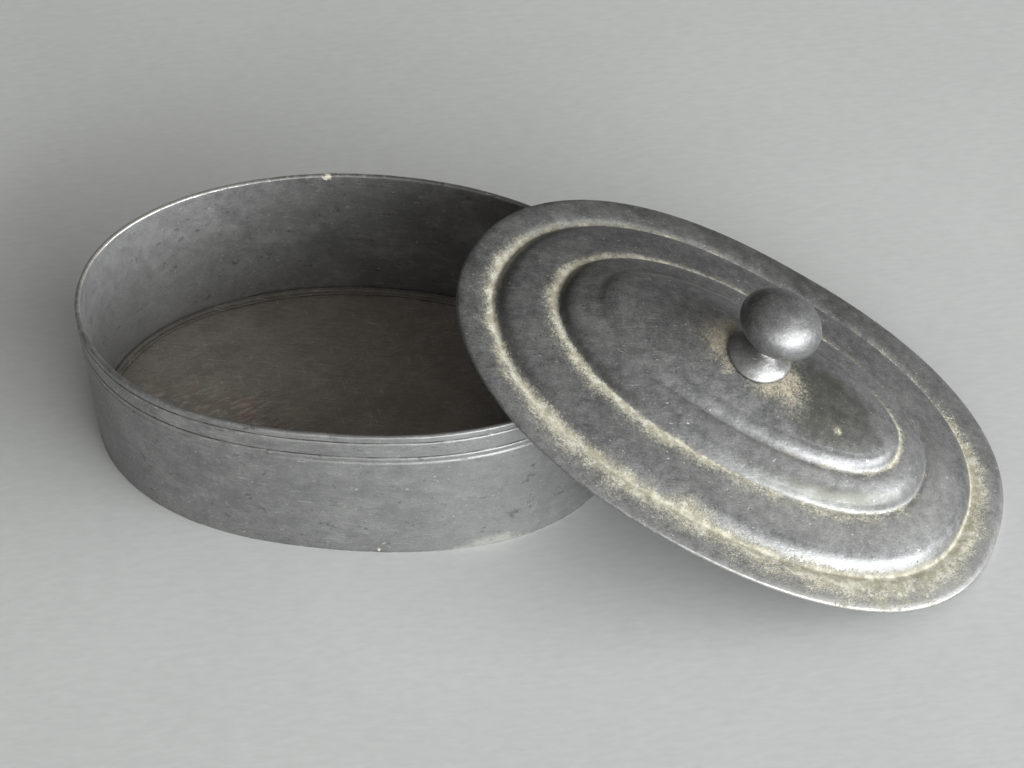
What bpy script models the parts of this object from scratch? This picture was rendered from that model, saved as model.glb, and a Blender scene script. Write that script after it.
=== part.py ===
"""Oval pewter lidded box: straight-walled base with its stepped lid leaning on the rim.

Metres, +Z up.  The underside of the base plate lies on Z = 0, centred on the origin,
and the long axis of the box runs along X.  The lid is drawn in its own frame (edge
plane at z = 0, long axis along x, knob along +z) and then placed, resting on the
table at its low end and on the box rim further up.
"""
import math

import bpy
from mathutils import Matrix, Vector

MM = 0.001
GAP = 0.3 * MM

# ---- box -------------------------------------------------------------------
RIM_LONG = 62.5 * MM           # outer semi-axes at the rim
RIM_SHORT = 42.7 * MM
WALL_TAPER = 0.55 * MM         # how much smaller the semi-axes are at the table
WALL_HEIGHT = 37.8 * MM
WALL_THICK = 1.24 * MM
RIM_ROUND = 0.35 * MM
LINE_DEPTHS = (1.9 * MM, 6.5 * MM)   # incised lines, measured down from the rim
LINE_HALF_WIDTH = 0.35 * MM
LINE_CUT = 0.25 * MM
BASE_THICK = 1.4 * MM
FILLET_LEG = 3.0 * MM          # solder run between floor and wall
FILLET_RISE = 1.3 * MM
FILLET_HOLLOW = 0.35           # how far up and out the middle of the fillet's face sits
SEAM_WIDTH = 5.0 * MM          # solder strip down the inside of the wall's butt joint
SEAM_THICK = 0.5 * MM
SEAM_TOP_DROP = 2.0 * MM
SEAM_COLUMNS = 7
SEAM_CLEAR = 0.1 * MM          # extra room for the flats of the faceted wall

# ---- lid -------------------------------------------------------------------
LID_OVERHANG = 4.1 * MM
LID_LONG = RIM_LONG + LID_OVERHANG
LID_SHORT = RIM_SHORT + LID_OVERHANG
LID_THICK = 1.1 * MM
LIP_DROP = 0.4 * MM
DOME_EDGE_INSET = 32.8 * MM
DOME_EDGE = 11.6 * MM
DOME_TOP = 14.9 * MM
DOME_POWER = 2.2
STEM_HOLE = 2.3 * MM
CROWN_SHARE = 0.12             # share of the dome where the stem hole starts
DOME_SHARES = (0.82, 0.64, 0.46, 0.3)
UNDER_SHARES = (0.34, 0.68)
UNDER_SPACING = 0.75 * MM
BEZEL_CLEAR = 0.65 * MM        # between locating ring and the mouth of the box
BEZEL_THICK = 1.0 * MM
BEZEL_TOP = -1.0 * MM
BEZEL_BOTTOM = -2.0 * MM
BEZEL_BEVEL = (0.15 * MM, 0.2 * MM)
BEZEL_FILLET = 1.2 * MM
BEZEL_FILLET_DROP = 0.1 * MM

# ---- knob, heights measured up from the crown of the lid --------------------
KNOB_LEAN_BACK = 5.5           # degrees, toward the lid's +y side
KNOB_LEAN_RIGHT = 2.3          # degrees, toward the lid's +x end
FOOT_RADIUS = 7.5 * MM
FOOT_EDGE = 0.4 * MM           # height of the foot's thin edge above its underside
FOOT_TOP = 3.3 * MM
FOOT_SHAPE = ((0.78, 1.6 * MM), (0.62, 2.15 * MM), (0.48, 2.7 * MM))
FOOT_BORE = 1.95 * MM
NECK_RADIUS = 2.9 * MM
STEM_RADIUS = 1.6 * MM
BALL_RADIUS = 9.4 * MM
BALL_HALF_HEIGHT = 6.2 * MM
BALL_CENTRE = 10.6 * MM
BALL_START = 1.12              # where the ball leaves the neck, as a share of the neck's angle
BALL_POLE = 0.12               # half-angle of the small flat left at the top of the ball
WASHER_RADIUS = 5.0 * MM
WASHER_TOP = -2.5 * MM
WASHER_THICK = 0.8 * MM
PEEN_RADIUS = 2.9 * MM
PEEN_DEPTH = 1.1 * MM

# ---- where the lid lies -------------------------------------------------------
LID_CENTRE = Vector((87.6, -8.2, 24.72)) * MM
LID_SPIN = -13.74              # long axis turned about the vertical before tilting
LID_TILT = 21.45               # slope of the lid
LID_DOWNHILL = -3.63           # heading its upper face leans toward

# ---- facets --------------------------------------------------------------------
OVAL_STEPS = 96
LID_STEPS = 72
ROUND_STEPS = 40
SMALL_STEPS = 24
BALL_RINGS = 15
SHARP_ANGLE = math.radians(38)

# Fullness of the hand-raised ovals: mean power, change front to back and left to right.
BOX_OVAL = (2.17, 0.105, 0.113)
LID_OVAL = (2.238, -0.04, 0.08)


def clear_scene():
    for obj in list(bpy.data.objects):
        bpy.data.objects.remove(obj, do_unlink=True)


def signed_power(value, power):
    return math.copysign(abs(value) ** power, value)


def oval_point(long_axis, short_axis, shape, angle):
    """Point on a slightly squared oval whose fullness drifts round the outline."""
    c, s = math.cos(angle), math.sin(angle)
    power = 2.0 / (shape[0] - shape[1] * s + shape[2] * c)
    return long_axis * signed_power(c, power), short_axis * signed_power(s, power)


def oval_ring(long_axis, short_axis, height, shape, steps):
    ring = []
    for i in range(steps):
        x, y = oval_point(long_axis, short_axis, shape, 2.0 * math.pi * i / steps)
        ring.append(Vector((x, y, height)))
    return ring


def circle_ring(radius, height, steps):
    turns = (2.0 * math.pi * i / steps for i in range(steps))
    return [Vector((radius * math.cos(t), radius * math.sin(t), height)) for t in turns]


def pewter(name, colour, roughness):
    mat = bpy.data.materials.new(name)
    mat.use_nodes = True
    shader = mat.node_tree.nodes["Principled BSDF"]
    shader.inputs["Base Color"].default_value = (*colour, 1.0)
    shader.inputs["Metallic"].default_value = 1.0
    shader.inputs["Roughness"].default_value = roughness
    mat.diffuse_color = (*colour, 1.0)
    return mat


def add_solid(name, rings, material, place=Matrix.Identity(4), loop=True):
    """Skin a run of equal rings; loop=True joins the last ring to the first,
    loop=False closes both ends with flat caps."""
    steps = len(rings[0])
    verts = [v for ring in rings for v in ring]
    spans = len(rings) if loop else len(rings) - 1
    faces = []
    for r in range(spans):
        a, b = r * steps, ((r + 1) % len(rings)) * steps
        for i in range(steps):
            j = (i + 1) % steps
            faces.append((a + i, a + j, b + j, b + i))
    if not loop:
        faces.append(tuple(reversed(range(steps))))
        last = (len(rings) - 1) * steps
        faces.append(tuple(range(last, last + steps)))
    return add_mesh(name, verts, faces, material, place)


def add_mesh(name, verts, faces, material, place):
    mesh = bpy.data.meshes.new(name)
    mesh.from_pydata([tuple(v) for v in verts], [], faces)
    mesh.validate()
    mesh.shade_smooth()
    mesh.set_sharp_from_angle(angle=SHARP_ANGLE)
    mesh.materials.append(material)
    obj = bpy.data.objects.new(name, mesh)
    obj.matrix_world = place
    bpy.context.scene.collection.objects.link(obj)
    return obj


# ---- box ------------------------------------------------------------------------
def wall_axes(height, inset):
    """Semi-axes of the wall at a height, moved in by inset from the outer face."""
    narrow = WALL_TAPER * (1.0 - height / WALL_HEIGHT) + inset
    return RIM_LONG - narrow, RIM_SHORT - narrow


def wall_ring(height, inset):
    long_axis, short_axis = wall_axes(height, inset)
    return oval_ring(long_axis, short_axis, height, BOX_OVAL, OVAL_STEPS)


def wall_section():
    """(height, inset) round the wall's section: up the outside, over, down the inside."""
    section = [(0.0, 0.0)]
    for depth in reversed(LINE_DEPTHS):
        mid = WALL_HEIGHT - depth
        section.append((mid - LINE_HALF_WIDTH, 0.0))
        section.append((mid, LINE_CUT))
        section.append((mid + LINE_HALF_WIDTH, 0.0))
    section.append((WALL_HEIGHT - RIM_ROUND, 0.0))
    section.append((WALL_HEIGHT, RIM_ROUND))
    section.append((WALL_HEIGHT, WALL_THICK - RIM_ROUND))
    section.append((WALL_HEIGHT - RIM_ROUND, WALL_THICK))
    section.append((0.0, WALL_THICK))
    return section


def build_side_wall():
    rings = [wall_ring(h, inset) for h, inset in wall_section()]
    add_solid("side_wall", rings, pewter("wall_pewter", (0.30, 0.30, 0.30), 0.46))


def build_base_plate():
    inset = WALL_THICK + GAP
    rings = [wall_ring(0.0, inset), wall_ring(BASE_THICK, inset)]
    add_solid("base_plate", rings, pewter("floor_pewter", (0.19, 0.17, 0.15), 0.55),
              loop=False)


def build_floor_fillet():
    near = WALL_THICK + GAP
    low = BASE_THICK + GAP
    hollow = (low + FILLET_HOLLOW * FILLET_RISE, near + FILLET_HOLLOW * FILLET_LEG)
    section = [(low, near), (low + FILLET_RISE, near), hollow, (low, near + FILLET_LEG)]
    rings = [wall_ring(h, inset) for h, inset in section]
    add_solid("floor_solder_fillet", rings, pewter("floor_solder", (0.24, 0.22, 0.20), 0.5))


def build_wall_seam():
    """Flat solder strip inside the right-hand end, following the wall's curve."""
    low = BASE_THICK + 2.0 * GAP + FILLET_RISE
    high = WALL_HEIGHT - SEAM_TOP_DROP
    near = WALL_THICK + GAP
    verts = []
    for height in (low, high):
        for inset in (near, near + SEAM_THICK):
            long_axis, short_axis = wall_axes(height, inset)
            for i in range(SEAM_COLUMNS):
                across = SEAM_WIDTH * (i / (SEAM_COLUMNS - 1) - 0.5)
                x = seam_reach(long_axis, short_axis, across)
                verts.append(Vector((x, across, height)))
    faces = []
    n = SEAM_COLUMNS
    for i in range(n - 1):
        faces.append((i, i + 1, 2 * n + i + 1, 2 * n + i))
        faces.append((n + i + 1, n + i, 3 * n + i, 3 * n + i + 1))
        faces.append((i + 1, i, n + i, n + i + 1))
        faces.append((2 * n + i, 2 * n + i + 1, 3 * n + i + 1, 3 * n + i))
    faces.append((0, 2 * n, 3 * n, n))
    faces.append((n - 1, 2 * n - 1, 4 * n - 1, 3 * n - 1))
    add_mesh("wall_seam_solder", verts, faces, pewter("seam_solder", (0.27, 0.26, 0.25), 0.5),
             Matrix.Identity(4))


def seam_reach(long_axis, short_axis, across):
    """X of the oval's right-hand end at a given y, kept inside the faceted wall."""
    power = BOX_OVAL[0] + BOX_OVAL[2]
    rest = 1.0 - abs(across / short_axis) ** power
    return long_axis * rest ** (1.0 / power) - SEAM_CLEAR


# ---- lid ------------------------------------------------------------------------
def lid_top_profile():
    """(inset, height) in metres up the lid's upper face, from lip to dome."""
    border = [(0.0, -0.4), (0.0, 0.1), (0.35, 0.42), (2.2, 0.85), (4.6, 1.05), (6.6, 0.9)]
    first = [(7.7, 0.5), (8.3, 0.45), (8.8, 1.05), (9.6, 2.05), (10.8, 3.0), (12.4, 3.6)]
    band = [(15.0, 4.2), (18.2, 4.8), (20.7, 5.05)]
    second = [(21.5, 5.05), (22.1, 5.75), (22.9, 6.85), (24.2, 7.95), (26.0, 8.7), (28.6, 9.3)]
    third = [(29.5, 9.45), (30.3, 10.2), (31.4, 11.0)]
    run = border + first + band + second + third
    return [(d * MM, z * MM) for d, z in run] + [(DOME_EDGE_INSET, DOME_EDGE)]


def lid_under_profile(top):
    """The lower face: the upper profile moved down square to itself, thinned out."""
    under = [(0.0, -LIP_DROP)]
    for i in range(3, len(top) - 1):
        along_d = top[i + 1][0] - top[i - 1][0]
        along_z = top[i + 1][1] - top[i - 1][1]
        size = math.hypot(along_d, along_z)
        point = (top[i][0] + LID_THICK * along_z / size,
                 top[i][1] - LID_THICK * along_d / size)
        if point[0] - under[-1][0] > UNDER_SPACING:
            under.append(point)
    under.append((DOME_EDGE_INSET, DOME_EDGE - LID_THICK))
    return under


def dome_height(share):
    """Height of the dome at a share (0 crown, 1 edge) of the way out."""
    return DOME_TOP - (DOME_TOP - DOME_EDGE) * share ** DOME_POWER


def dome_surface(x, y):
    """Height of the lid's upper face above its edge plane, near the crown."""
    long_axis = LID_LONG - DOME_EDGE_INSET
    short_axis = LID_SHORT - DOME_EDGE_INSET
    power = LID_OVAL[0]
    share = (abs(x / long_axis) ** power + abs(y / short_axis) ** power) ** (1.0 / power)
    return dome_height(share)


def lid_ring(inset, height):
    return oval_ring(LID_LONG - inset, LID_SHORT - inset, height, LID_OVAL, LID_STEPS)


def dome_ring(share, drop):
    long_axis = (LID_LONG - DOME_EDGE_INSET) * share
    short_axis = (LID_SHORT - DOME_EDGE_INSET) * share
    return oval_ring(long_axis, short_axis, dome_height(share) - drop, LID_OVAL, LID_STEPS)


def build_lid_cover(place):
    top = lid_top_profile()
    rings = [lid_ring(d, z) for d, z in top]
    rings += [dome_ring(share, 0.0) for share in DOME_SHARES]
    rings.append(circle_ring(STEM_HOLE, dome_height(CROWN_SHARE), LID_STEPS))
    rings.append(circle_ring(STEM_HOLE, dome_height(CROWN_SHARE) - LID_THICK, LID_STEPS))
    rings += [dome_ring(share, LID_THICK) for share in UNDER_SHARES]
    under = lid_under_profile(top)
    rings += [lid_ring(d, z) for d, z in reversed(under[1:])]
    add_solid("lid_cover", rings, pewter("lid_pewter", (0.33, 0.33, 0.32), 0.42), place)


def mouth_ring(inset, height):
    """Oval matching the mouth of the box, so the locating ring drops into it."""
    grow = WALL_THICK + BEZEL_CLEAR + inset
    return oval_ring(RIM_LONG - grow, RIM_SHORT - grow, height, BOX_OVAL, LID_STEPS)


def build_bezel(place):
    section = [(BEZEL_BEVEL[0], BEZEL_BOTTOM), (0.0, BEZEL_BOTTOM + BEZEL_BEVEL[1]),
               (0.0, BEZEL_TOP),
               (BEZEL_THICK, BEZEL_TOP), (BEZEL_THICK, BEZEL_BOTTOM)]
    rings = [mouth_ring(inset, height) for inset, height in section]
    add_solid("lid_bezel_ring", rings, pewter("bezel_pewter", (0.26, 0.26, 0.25), 0.5), place)


def build_bezel_fillet(place):
    near = BEZEL_THICK + GAP
    top = BEZEL_TOP - BEZEL_FILLET_DROP
    section = [(near, top - 0.7 * BEZEL_FILLET), (near, top), (near + BEZEL_FILLET, top)]
    rings = [mouth_ring(inset, height) for inset, height in section]
    add_solid("bezel_solder_fillet", rings, pewter("bezel_solder", (0.3, 0.29, 0.28), 0.45),
              place)


# ---- knob -----------------------------------------------------------------------
def knob_frame():
    """Knob axes in the lid's frame: origin on the crown, leaning a little."""
    up = Vector((math.tan(math.radians(KNOB_LEAN_RIGHT)),
                 math.tan(math.radians(KNOB_LEAN_BACK)), 1.0)).normalized()
    side = Vector((0.0, 1.0, 0.0)).cross(up).normalized()
    back = up.cross(side)
    turn = Matrix((side, back, up)).transposed().to_4x4()
    return Matrix.Translation((0.0, 0.0, DOME_TOP)) @ turn


def revolve(name, section, material, place, steps, loop=True):
    rings = [circle_ring(radius, height, steps) for radius, height in section]
    return add_solid(name, rings, material, place, loop)


def build_knob_foot(place, frame):
    """Low domed foot; its underside and thin edge follow the crown of the lid."""
    rings = [dome_following_ring(reach * FOOT_RADIUS, 0.0, frame)
             for reach in (FOOT_BORE / FOOT_RADIUS, 0.5, 0.76, 1.0)]
    rings.append(dome_following_ring(FOOT_RADIUS, FOOT_EDGE, frame))
    rings.append(dome_following_ring(0.93 * FOOT_RADIUS, 2.2 * FOOT_EDGE, frame))
    for reach, height in FOOT_SHAPE:
        rings.append(circle_ring(FOOT_RADIUS * reach, height, ROUND_STEPS))
    rings.append(circle_ring(NECK_RADIUS, FOOT_TOP, ROUND_STEPS))
    rings.append(circle_ring(FOOT_BORE, FOOT_TOP, ROUND_STEPS))
    add_solid("knob_foot", rings, pewter("foot_pewter", (0.36, 0.36, 0.35), 0.36),
              place @ frame)


def dome_following_ring(radius, lift, frame):
    """Ring in the knob's frame that sits GAP + lift above the dome of the lid."""
    ring = []
    inverse = frame.inverted()
    for point in circle_ring(radius, 0.0, ROUND_STEPS):
        on_lid = frame @ point
        on_lid.z = dome_surface(on_lid.x, on_lid.y) + GAP + lift
        ring.append(inverse @ on_lid)
    return ring


def build_knob_ball(place, frame):
    """Flattened ball, neck, stem through foot and lid, and the peened end below."""
    washer_low = WASHER_TOP - WASHER_THICK
    head = washer_low - GAP
    section = [(0.5 * PEEN_RADIUS, head - PEEN_DEPTH), (0.9 * PEEN_RADIUS, head - 0.6 * PEEN_DEPTH),
               (PEEN_RADIUS, head), (STEM_RADIUS, head),
               (STEM_RADIUS, FOOT_TOP + GAP), (NECK_RADIUS, FOOT_TOP + GAP),
               (0.97 * NECK_RADIUS, FOOT_TOP + 2.0 * GAP)]
    start = math.asin(NECK_RADIUS / BALL_RADIUS) * BALL_START
    for i in range(BALL_RINGS):
        turn = start + (math.pi - start - BALL_POLE) * i / (BALL_RINGS - 1)
        section.append((BALL_RADIUS * math.sin(turn),
                        BALL_CENTRE - BALL_HALF_HEIGHT * math.cos(turn)))
    revolve("knob_ball", section, pewter("knob_pewter", (0.35, 0.35, 0.35), 0.32),
            place @ frame, ROUND_STEPS, loop=False)


def build_knob_washer(place, frame):
    low = WASHER_TOP - WASHER_THICK
    section = [(FOOT_BORE, low), (WASHER_RADIUS, low), (WASHER_RADIUS, WASHER_TOP),
               (FOOT_BORE, WASHER_TOP)]
    revolve("knob_washer", section, pewter("washer_pewter", (0.28, 0.28, 0.27), 0.48),
            place @ frame, SMALL_STEPS)


def lid_placement():
    spin = Matrix.Rotation(math.radians(LID_SPIN), 4, "Z")
    heading = math.radians(LID_DOWNHILL)
    axis = Vector((-math.sin(heading), math.cos(heading), 0.0))
    tilt = Matrix.Rotation(math.radians(LID_TILT), 4, axis)
    return Matrix.Translation(LID_CENTRE) @ tilt @ spin


def main():
    clear_scene()
    build_side_wall()
    build_base_plate()
    build_floor_fillet()
    build_wall_seam()
    place = lid_placement()
    frame = knob_frame()
    build_lid_cover(place)
    build_bezel(place)
    build_bezel_fillet(place)
    build_knob_foot(place, frame)
    build_knob_ball(place, frame)
    build_knob_washer(place, frame)


main()
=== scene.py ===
"""Old pewter sugar box with its stepped lid leaning on the rim: the visual model.

Metres, +Z up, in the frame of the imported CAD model.  The box stands on Z = 0 with its
long axis along X.  The lid and knob are drawn in the lid's own frame (edge plane at
z = 0, long axis along x) and placed where the CAD lid lies.
"""
import math

import bpy
import numpy as np
from mathutils import Matrix, Vector, noise


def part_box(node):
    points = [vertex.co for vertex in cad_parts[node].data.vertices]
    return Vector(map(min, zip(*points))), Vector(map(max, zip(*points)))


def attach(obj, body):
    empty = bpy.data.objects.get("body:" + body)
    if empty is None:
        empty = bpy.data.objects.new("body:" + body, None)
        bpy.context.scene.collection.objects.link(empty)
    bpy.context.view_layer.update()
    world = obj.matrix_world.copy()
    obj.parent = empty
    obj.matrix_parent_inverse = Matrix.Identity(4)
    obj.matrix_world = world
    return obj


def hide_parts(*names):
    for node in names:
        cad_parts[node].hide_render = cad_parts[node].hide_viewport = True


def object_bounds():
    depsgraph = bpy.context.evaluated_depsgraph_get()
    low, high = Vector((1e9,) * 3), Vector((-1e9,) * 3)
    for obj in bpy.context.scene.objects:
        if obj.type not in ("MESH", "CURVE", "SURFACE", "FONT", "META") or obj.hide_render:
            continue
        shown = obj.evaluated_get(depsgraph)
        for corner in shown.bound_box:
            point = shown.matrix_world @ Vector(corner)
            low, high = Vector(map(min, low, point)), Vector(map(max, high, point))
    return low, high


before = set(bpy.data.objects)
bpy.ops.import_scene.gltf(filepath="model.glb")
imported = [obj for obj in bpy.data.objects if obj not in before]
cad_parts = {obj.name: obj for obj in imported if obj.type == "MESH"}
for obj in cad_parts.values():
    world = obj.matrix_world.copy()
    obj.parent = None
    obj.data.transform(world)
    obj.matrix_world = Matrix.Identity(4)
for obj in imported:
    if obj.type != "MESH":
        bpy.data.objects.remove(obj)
cad_box = [list(corner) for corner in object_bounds()]

MM = 0.001
GAP = 0.3 * MM

# ---- box, as in the CAD model ------------------------------------------------
RIM_LONG = 62.5 * MM
RIM_SHORT = 42.7 * MM
WALL_TAPER = 0.55 * MM
WALL_HEIGHT = 37.8 * MM
WALL_THICK = 1.24 * MM
RIM_ROUND = 0.5 * MM
LINE_DEPTHS = (1.9 * MM, 6.5 * MM)
LINE_HALF_WIDTH = 0.34 * MM
LINE_CUT = 0.26 * MM
LINE_BURR = 0.05 * MM
BASE_THICK = 1.4 * MM
FILLET_LEG = 3.0 * MM
FILLET_RISE = 1.3 * MM
FILLET_REACH = 0.62             # share of the leg that the visible solder covers
SOLDER_SINK = 0.2 * MM          # how far the solder dips toward the worn floor
FLOOR_RINGS = 54
BOX_OVAL = (2.17, 0.105, 0.113)

# ---- lid, as in the CAD model ------------------------------------------------
LID_LONG = 66.6 * MM
LID_SHORT = 46.8 * MM
LID_THICK = 1.1 * MM
LIP_DROP = 0.4 * MM
DOME_EDGE_INSET = 32.8 * MM
DOME_EDGE = 11.6 * MM
DOME_TOP = 14.9 * MM
DOME_POWER = 2.2
STEM_HOLE = 2.3 * MM
LID_OVAL = (2.238, -0.04, 0.08)
CREASES = (8.1 * MM, 21.3 * MM, 29.3 * MM)
BEZEL_CLEAR = 0.65 * MM
BEZEL_THICK = 1.0 * MM
BEZEL_TOP = -1.0 * MM
BEZEL_BOTTOM = -2.0 * MM
BEZEL_FILLET = 1.2 * MM
BEZEL_FILLET_DROP = 0.1 * MM
LID_SPIN = -13.74
LID_TILT = 21.45
LID_DOWNHILL = -3.63

# ---- knob --------------------------------------------------------------------
KNOB_LEAN_BACK = 5.5
KNOB_LEAN_RIGHT = 2.3
FOOT_RADIUS = 7.5 * MM
FOOT_TOP = 3.3 * MM
FOOT_BORE = 1.95 * MM
NECK_RADIUS = 2.9 * MM
STEM_RADIUS = 1.6 * MM
BALL_RADIUS = 9.4 * MM
BALL_HALF_HEIGHT = 6.2 * MM
BALL_CENTRE = 10.6 * MM
BALL_START = 1.12               # where the ball leaves the neck
WASHER_RADIUS = 5.0 * MM
WASHER_TOP = -2.5 * MM
WASHER_THICK = 0.8 * MM
PEEN_RADIUS = 2.9 * MM
PEEN_DEPTH = 1.1 * MM

# ---- camera and light --------------------------------------------------------
LENS = 98.44
SENSOR = 36.0
VIEW_AZIMUTH = 10.455
VIEW_ELEVATION = 45.193
VIEW_ROLL = -2.651
VIEW_DISTANCE = 633.27 * MM
AIM_FROM_CENTRE = Vector((-6.05, 1.95, -7.49)) * MM

ROOM_BRIGHT_SIDE = (0.76, -0.64, 0.10)
ROOM_DIM = 0.03
ROOM_BRIGHT = 0.50
CLIP_START = 0.02

# heading and rise in degrees, distance, size, power
WINDOW = (-27.0, 19.0, 2.4, (3.75, 1.15), 128.0)
FRONT_FILL = (-72.0, 13.0, 2.4, (2.2, 0.9), 15.0)
DAYLIGHT = (0.97, 1.0, 1.0)

# ---- dried polish ------------------------------------------------------------
POLISH_FILM = (0.35, 0.33, 0.265)
POLISH_THIN = (0.36, 0.335, 0.255)
POLISH_THICK = (0.58, 0.555, 0.47)
POLISH_TAN = (0.40, 0.34, 0.255)

TABLE_HALF = 2.5
TABLE_STEPS = 25
OVAL_STEPS = 448
ROUND_STEPS = 160


# ---- shapes ------------------------------------------------------------------
def turns(steps):
    return np.arange(steps) * (2.0 * math.pi / steps)


def oval(long_axis, short_axis, shape, angle):
    """Points of a slightly squared oval whose fullness drifts round the outline."""
    c, s = np.cos(angle), np.sin(angle)
    power = 2.0 / (shape[0] - shape[1] * s + shape[2] * c)
    x = long_axis * np.sign(c) * np.abs(c) ** power
    y = short_axis * np.sign(s) * np.abs(s) ** power
    return x, y


def smooth_run(points, step):
    """Points along a Catmull-Rom curve through the given ones, about step apart."""
    pts = np.array(points, float)
    ends = np.vstack([2 * pts[0] - pts[1], pts, 2 * pts[-1] - pts[-2]])
    out = []
    for i in range(1, len(ends) - 2):
        a, b, c, d = ends[i - 1], ends[i], ends[i + 1], ends[i + 2]
        chord = np.linalg.norm(c - b)
        before = max(np.linalg.norm(b - a), 1e-9)
        after = max(np.linalg.norm(d - c), 1e-9)
        m1 = chord * ((b - a) / before + (c - b) / chord) / 2.0
        m2 = chord * ((c - b) / chord + (d - c) / after) / 2.0
        count = max(1, int(math.ceil(chord / step)))
        for u in np.arange(count) / count:
            out.append((2 * u**3 - 3 * u**2 + 1) * b + (u**3 - 2 * u**2 + u) * m1
                       + (3 * u**2 - 2 * u**3) * c + (u**3 - u**2) * m2)
    out.append(pts[-1])
    return np.array(out)


def bump_at(value, centre, width):
    return np.exp(-((value - centre) / width) ** 2)


def angle_bump(angle, degrees, width):
    """1 at the given angle round the oval, falling off over width degrees."""
    away = (np.degrees(angle) - degrees + 180.0) % 360.0 - 180.0
    return np.exp(-(away / width) ** 2)


def ease(value, low, high):
    share = np.clip((value - low) / (high - low), 0.0, 1.0)
    return share * share * (3.0 - 2.0 * share)


def drift(points, size, seed):
    """Smooth noise in about -1..1 at each point, with features of the given size."""
    shift = Vector((seed * 7.3, seed * 3.1, seed * 5.7))
    flat = points.reshape(-1, 3) / size
    values = [noise.noise(Vector(p) + shift) for p in flat]
    return np.array(values).reshape(points.shape[:-1])


def add_grid(name, grid, material, place, layers=None, loop=True, caps=False):
    """Skin rows of equal rings; loop joins the last ring to the first."""
    rows, steps = grid.shape[:2]
    index = np.arange(rows * steps).reshape(rows, steps)
    spans = rows if loop else rows - 1
    a = index[:spans]
    b = index[(np.arange(spans) + 1) % rows]
    quads = np.stack([a, np.roll(a, -1, 1), np.roll(b, -1, 1), b], -1).reshape(-1, 4)
    faces = quads.tolist()
    if caps:
        faces.append(index[0][::-1].tolist())
        faces.append(index[-1].tolist())
    mesh = bpy.data.meshes.new(name)
    mesh.from_pydata(grid.reshape(-1, 3).tolist(), [], faces)
    mesh.transform(place)
    mesh.validate()
    mesh.shade_smooth()
    for layer, values in (layers or {}).items():
        attribute = mesh.attributes.new(layer, "FLOAT", "POINT")
        attribute.data.foreach_set("value", values.reshape(-1).astype(np.float32))
    mesh.materials.append(material)
    obj = bpy.data.objects.new(name, mesh)
    bpy.context.scene.collection.objects.link(obj)
    return obj


def settle(obj, body, node):
    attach(obj, body)
    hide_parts(node)
    return obj


# ---- materials ---------------------------------------------------------------
class Finish:
    """One procedural material and short ways to add nodes to it."""

    def __init__(self, name):
        self.material = bpy.data.materials.new(name)
        self.material.use_nodes = True
        self.nodes = self.material.node_tree.nodes
        self.links = self.material.node_tree.links
        self.shader = self.nodes["Principled BSDF"]
        self.place = self.nodes.new("ShaderNodeTexCoord").outputs["Object"]

    def feed(self, socket, value):
        if isinstance(value, bpy.types.NodeSocket):
            self.links.new(value, socket)
        elif socket.type == "RGBA":
            socket.default_value = (*value, 1.0)
        else:
            socket.default_value = value

    def math(self, kind, a, b=0.0, clamp=False):
        node = self.nodes.new("ShaderNodeMath")
        node.operation = kind
        node.use_clamp = clamp
        self.feed(node.inputs[0], a)
        self.feed(node.inputs[1], b)
        return node.outputs[0]

    def stretched(self, squeeze, turn=(0.0, 0.0, 0.0)):
        """Coordinates squeezed along turned axes, so that a pattern runs in long streaks."""
        node = self.nodes.new("ShaderNodeMapping")
        node.vector_type = "TEXTURE"
        self.feed(node.inputs["Vector"], self.place)
        node.inputs["Scale"].default_value = [1.0 / s for s in squeeze]
        node.inputs["Rotation"].default_value = [math.radians(t) for t in turn]
        return node.outputs[0]

    def noise(self, size, detail=4.0, rough=0.55, vector=None, warp=0.0):
        """Noise around 0.5 with features of about the given size in metres."""
        node = self.nodes.new("ShaderNodeTexNoise")
        self.feed(node.inputs["Vector"], vector or self.place)
        node.inputs["Scale"].default_value = 1.0 / size
        node.inputs["Detail"].default_value = detail
        node.inputs["Roughness"].default_value = rough
        node.inputs["Distortion"].default_value = warp
        return node.outputs["Fac"]

    def cells(self, size, vector=None):
        node = self.nodes.new("ShaderNodeTexVoronoi")
        self.feed(node.inputs["Vector"], vector or self.place)
        node.inputs["Scale"].default_value = 1.0 / size
        return node.outputs["Distance"]

    def smooth(self, value, low, high, start=0.0, end=1.0):
        node = self.nodes.new("ShaderNodeMapRange")
        node.interpolation_type = "SMOOTHSTEP"
        for socket, number in zip(node.inputs[:5], (value, low, high, start, end)):
            self.feed(socket, number)
        return node.outputs[0]

    def mix(self, share, a, b):
        node = self.nodes.new("ShaderNodeMix")
        node.data_type = "RGBA"
        self.feed(node.inputs["Factor"], share)
        self.feed(node.inputs[6], a)
        self.feed(node.inputs[7], b)
        return node.outputs[2]

    def blend(self, share, a, b):
        node = self.nodes.new("ShaderNodeMix")
        self.feed(node.inputs["Factor"], share)
        self.feed(node.inputs[2], a)
        self.feed(node.inputs[3], b)
        return node.outputs[0]

    def layer(self, name):
        node = self.nodes.new("ShaderNodeAttribute")
        node.attribute_name = name
        return node.outputs["Fac"]

    def done(self, colour, rough, height, metal=0.78):
        """Height is in millimetres."""
        bump = self.nodes.new("ShaderNodeBump")
        bump.inputs["Distance"].default_value = MM
        self.feed(bump.inputs["Height"], height)
        self.feed(self.shader.inputs["Normal"], bump.outputs[0])
        self.feed(self.shader.inputs["Base Color"], colour)
        self.feed(self.shader.inputs["Roughness"], rough)
        self.feed(self.shader.inputs["Metallic"], metal)
        return self.material


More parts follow.
